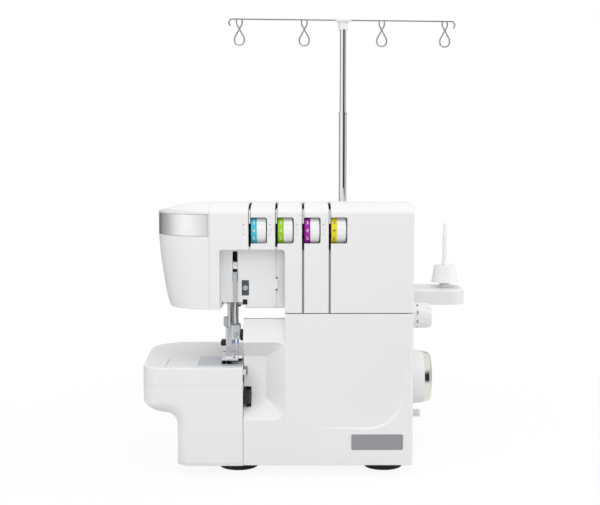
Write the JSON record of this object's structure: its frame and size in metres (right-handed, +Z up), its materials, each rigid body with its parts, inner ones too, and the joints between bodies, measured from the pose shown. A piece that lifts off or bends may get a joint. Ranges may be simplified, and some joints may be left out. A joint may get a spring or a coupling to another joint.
{
  "type": "serger overlock machine",
  "caption": "Home serger with a free arm, coloured tension dials, hinged looper cover, handwheel and a telescopic thread stand behind the body; trims and overcasts cloth edges.",
  "frame": {"origin": "on the table, under the middle of the machine's outline", "axes": "+X from the free arm to the handwheel, +Y from the front cover to the spool tray, +Z up"},
  "size_m": [0.363, 0.2241, 0.4902],
  "materials": {
    "white_shell": "satin moulded",
    "pale_grey_plastic": "satin moulded",
    "grey_plastic": "moulded",
    "chrome": "polished",
    "steel": "ground",
    "black_plastic": "moulded",
    "rubber": "moulded",
    "cast_frame": "as cast",
    "bronze": "sintered",
    "motor_paint": "enamel",
    "silver_plate": "brushed",
    "dial_blue": "moulded",
    "dial_green": "moulded",
    "dial_purple": "moulded",
    "dial_yellow": "moulded"
  },
  "bodies": {
    "machine": {"base_tray": "grey_plastic", "rubber_feet": "rubber", "main_frame": "cast_frame", "shaft_bushes": "bronze", "motor": "motor_paint", "drive_belt": "rubber", "arm_cover": "white_shell", "needle_plate": "steel", "fixing_screws": "steel", "front_cover": "white_shell", "rear_cover_upper": "white_shell", "rear_cover_lower": "white_shell", "face_cover": "white_shell", "face_band": "chrome", "power_inlet": "black_plastic", "tension_units": "steel", "lower_knife": "steel", "thread_guides": "steel", "spool_tray": "white_shell", "spool_pins": "white_shell", "pole_lower_tube": "chrome"},
    "cover_rod": {"cover_hinge_rod": "steel"},
    "looper_cover": {"looper_cover": "white_shell", "badge_plate": "silver_plate"},
    "cloth_plate": {"cloth_plate": "white_shell"},
    "drive": {"main_shaft": "steel", "handwheel": "white_shell", "handwheel_ring": "chrome"},
    "motor_rotor": {"motor_pulley": "steel"},
    "needle_bar": {"needle_bar": "steel", "take_up_lever": "pale_grey_plastic", "needle_clamp": "steel", "needle_clamp_screws": "black_plastic", "needles": "steel"},
    "needle_rocker": {"needle_rocker": "steel"},
    "lower_looper": {"lower_looper": "steel"},
    "upper_looper": {"upper_looper": "steel"},
    "upper_knife": {"upper_knife": "steel"},
    "feed_dogs": {"feed_dogs": "steel"},
    "presser_lifter": {"presser_lifter": "pale_grey_plastic"},
    "presser_bar": {"presser_bar": "steel", "presser_ankle": "steel", "presser_spring": "steel"},
    "presser_foot": {"presser_foot": "chrome"},
    "stitch_length_dial": {"stitch_length_dial": "white_shell"},
    "cutting_width_dial": {"cutting_width_dial": "black_plastic"},
    "stitch_finger_lever": {"stitch_finger_lever": "pale_grey_plastic"},
    "differential_lever": {"differential_lever": "pale_grey_plastic"},
    "power_switch": {"power_switch": "black_plastic"},
    "pole_upper": {"pole_upper_tube": "chrome"},
    "thread_guide": {"guide_cap": "white_shell", "thread_guide_bar": "chrome"},
    "tension_dial_1": {"tension_dial_1": "dial_blue"},
    "cone_adapter_1": {"cone_adapter_1": "white_shell"},
    "tension_dial_2": {"tension_dial_2": "dial_green"},
    "cone_adapter_2": {"cone_adapter_2": "white_shell"},
    "tension_dial_3": {"tension_dial_3": "dial_purple"},
    "cone_adapter_3": {"cone_adapter_3": "white_shell"},
    "tension_dial_4": {"tension_dial_4": "dial_yellow"},
    "cone_adapter_4": {"cone_adapter_4": "white_shell"}
  },
  "joints": [
    {"name": "looper_cover_slide", "type": "slide", "parent": "machine", "child": "cover_rod", "axis": [1, 0, 0], "range_m": [0, 0.008]},
    {"name": "looper_cover_swing", "type": "hinge", "parent": "cover_rod", "child": "looper_cover", "pos_m": [0, -0.1025, 0.018], "axis": [1, 0, 0], "range_deg": [0, 90]},
    {"name": "cloth_plate_slide", "type": "slide", "parent": "machine", "child": "cloth_plate", "axis": [-1, 0, 0], "range_m": [0, 0.1]},
    {"name": "handwheel_turn", "type": "hinge", "parent": "machine", "child": "drive", "pos_m": [0.1055, -0.026, 0.0876], "axis": [1, 0, 0], "continuous": true},
    {"name": "motor_turn", "type": "hinge", "parent": "machine", "child": "motor_rotor", "pos_m": [0.0785, 0.023, 0.048], "axis": [1, 0, 0], "continuous": true},
    {"name": "needle_bar_slide", "type": "slide", "parent": "machine", "child": "needle_bar", "axis": [0, 0, 1], "range_m": [-0.012, 0.008]},
    {"name": "needle_rocker_swing", "type": "hinge", "parent": "machine", "child": "needle_rocker", "pos_m": [-0.0805, -0.054, 0.229], "axis": [1, 0, 0], "range_deg": [-16.57, 24.76]},
    {"name": "lower_looper_swing", "type": "hinge", "parent": "machine", "child": "lower_looper", "pos_m": [-0.0555, -0.052, 0.04], "axis": [0, 1, 0], "range_deg": [-9.2, 13.7]},
    {"name": "upper_looper_swing", "type": "hinge", "parent": "machine", "child": "upper_looper", "pos_m": [-0.0435, -0.052, 0.049], "axis": [0, 1, 0], "range_deg": [-6.2, 9.2]},
    {"name": "upper_knife_slide", "type": "slide", "parent": "machine", "child": "upper_knife", "axis": [0, 0, 1], "range_m": [-0.0037, 0.0025]},
    {"name": "feed_dogs_slide", "type": "slide", "parent": "machine", "child": "feed_dogs", "axis": [0, 1, 0], "range_m": [-0.00185, 0.00125]},
    {"name": "presser_lifter_turn", "type": "hinge", "parent": "machine", "child": "presser_lifter", "pos_m": [-0.1035, -0.06, 0.194], "axis": [1, 0, 0], "range_deg": [-0.3, 50.3]},
    {"name": "presser_bar_slide", "type": "slide", "parent": "machine", "child": "presser_bar", "axis": [0, 0, 1], "range_m": [0, 0.0052], "deforming": ["presser_spring"]},
    {"name": "presser_foot_tilt", "type": "hinge", "parent": "presser_bar", "child": "presser_foot", "pos_m": [-0.0875, -0.071, 0.1215], "axis": [1, 0, 0], "range_deg": [-3.5, 3.5]},
    {"name": "stitch_length_turn", "type": "hinge", "parent": "machine", "child": "stitch_length_dial", "pos_m": [0.1055, -0.042, 0.1585], "axis": [1, 0, 0], "range_deg": [-90, 90]},
    {"name": "cutting_width_turn", "type": "hinge", "parent": "machine", "child": "cutting_width_dial", "pos_m": [-0.0725, -0.102, 0.0812], "axis": [1, 0, 0], "range_deg": [-120, 120]},
    {"name": "stitch_finger_slide", "type": "slide", "parent": "machine", "child": "stitch_finger_lever", "axis": [0, 1, 0], "range_m": [0, 0.004]},
    {"name": "differential_feed_slide", "type": "slide", "parent": "machine", "child": "differential_lever", "axis": [0, 1, 0], "range_m": [-0.012, 0.018]},
    {"name": "power_switch_rock", "type": "hinge", "parent": "machine", "child": "power_switch", "pos_m": [0.104, 0.023, 0.062], "axis": [0, 1, 0], "range_deg": [0, 12]},
    {"name": "pole_telescope", "type": "slide", "parent": "machine", "child": "pole_upper", "axis": [0, 0, 1], "range_m": [-0.088, 0]},
    {"name": "thread_guide_swivel", "type": "hinge", "parent": "pole_upper", "child": "thread_guide", "pos_m": [0.0385, 0.082, 0.4865], "axis": [0, 0, 1], "range_deg": [-90, 90]},
    {"name": "tension_turn_1", "type": "hinge", "parent": "machine", "child": "tension_dial_1", "pos_m": [-0.0648, -0.0956, 0.2573], "axis": [1, 0, 0], "range_deg": [-150, 120]},
    {"name": "tension_turn_2", "type": "hinge", "parent": "machine", "child": "tension_dial_2", "pos_m": [-0.0372, -0.0956, 0.2573], "axis": [1, 0, 0], "range_deg": [-150, 120]},
    {"name": "tension_turn_3", "type": "hinge", "parent": "machine", "child": "tension_dial_3", "pos_m": [-0.0096, -0.0956, 0.2573], "axis": [1, 0, 0], "range_deg": [-150, 120]},
    {"name": "tension_turn_4", "type": "hinge", "parent": "machine", "child": "tension_dial_4", "pos_m": [0.018, -0.0956, 0.2573], "axis": [1, 0, 0], "range_deg": [-150, 120]},
    {"name": "cone_adapter_lift_1", "type": "slide", "parent": "machine", "child": "cone_adapter_1", "axis": [0, 0, 1], "range_m": [0, 0.072]},
    {"name": "cone_adapter_lift_2", "type": "slide", "parent": "machine", "child": "cone_adapter_2", "axis": [0, 0, 1], "range_m": [0, 0.072]},
    {"name": "cone_adapter_lift_3", "type": "slide", "parent": "machine", "child": "cone_adapter_3", "axis": [0, 0, 1], "range_m": [0, 0.072]},
    {"name": "cone_adapter_lift_4", "type": "slide", "parent": "machine", "child": "cone_adapter_4", "axis": [0, 0, 1], "range_m": [0, 0.072]}
  ],
  "couplings": [
    {"joint": "motor_turn", "follows": "handwheel_turn", "ratio": 3},
    {"joint": "needle_rocker_swing", "follows": "needle_bar_slide", "rad_per_m": -35.714},
    {"joint": "lower_looper_swing", "follows": "needle_bar_slide", "rad_per_m": -19.635},
    {"joint": "upper_looper_swing", "follows": "needle_bar_slide", "rad_per_m": -13.09},
    {"joint": "upper_knife_slide", "follows": "needle_bar_slide", "ratio": 0.3},
    {"joint": "feed_dogs_slide", "follows": "needle_bar_slide", "ratio": 0.15},
    {"joint": "presser_lifter_turn", "follows": "presser_bar_slide", "rad_per_m": 167.82}
  ]
}
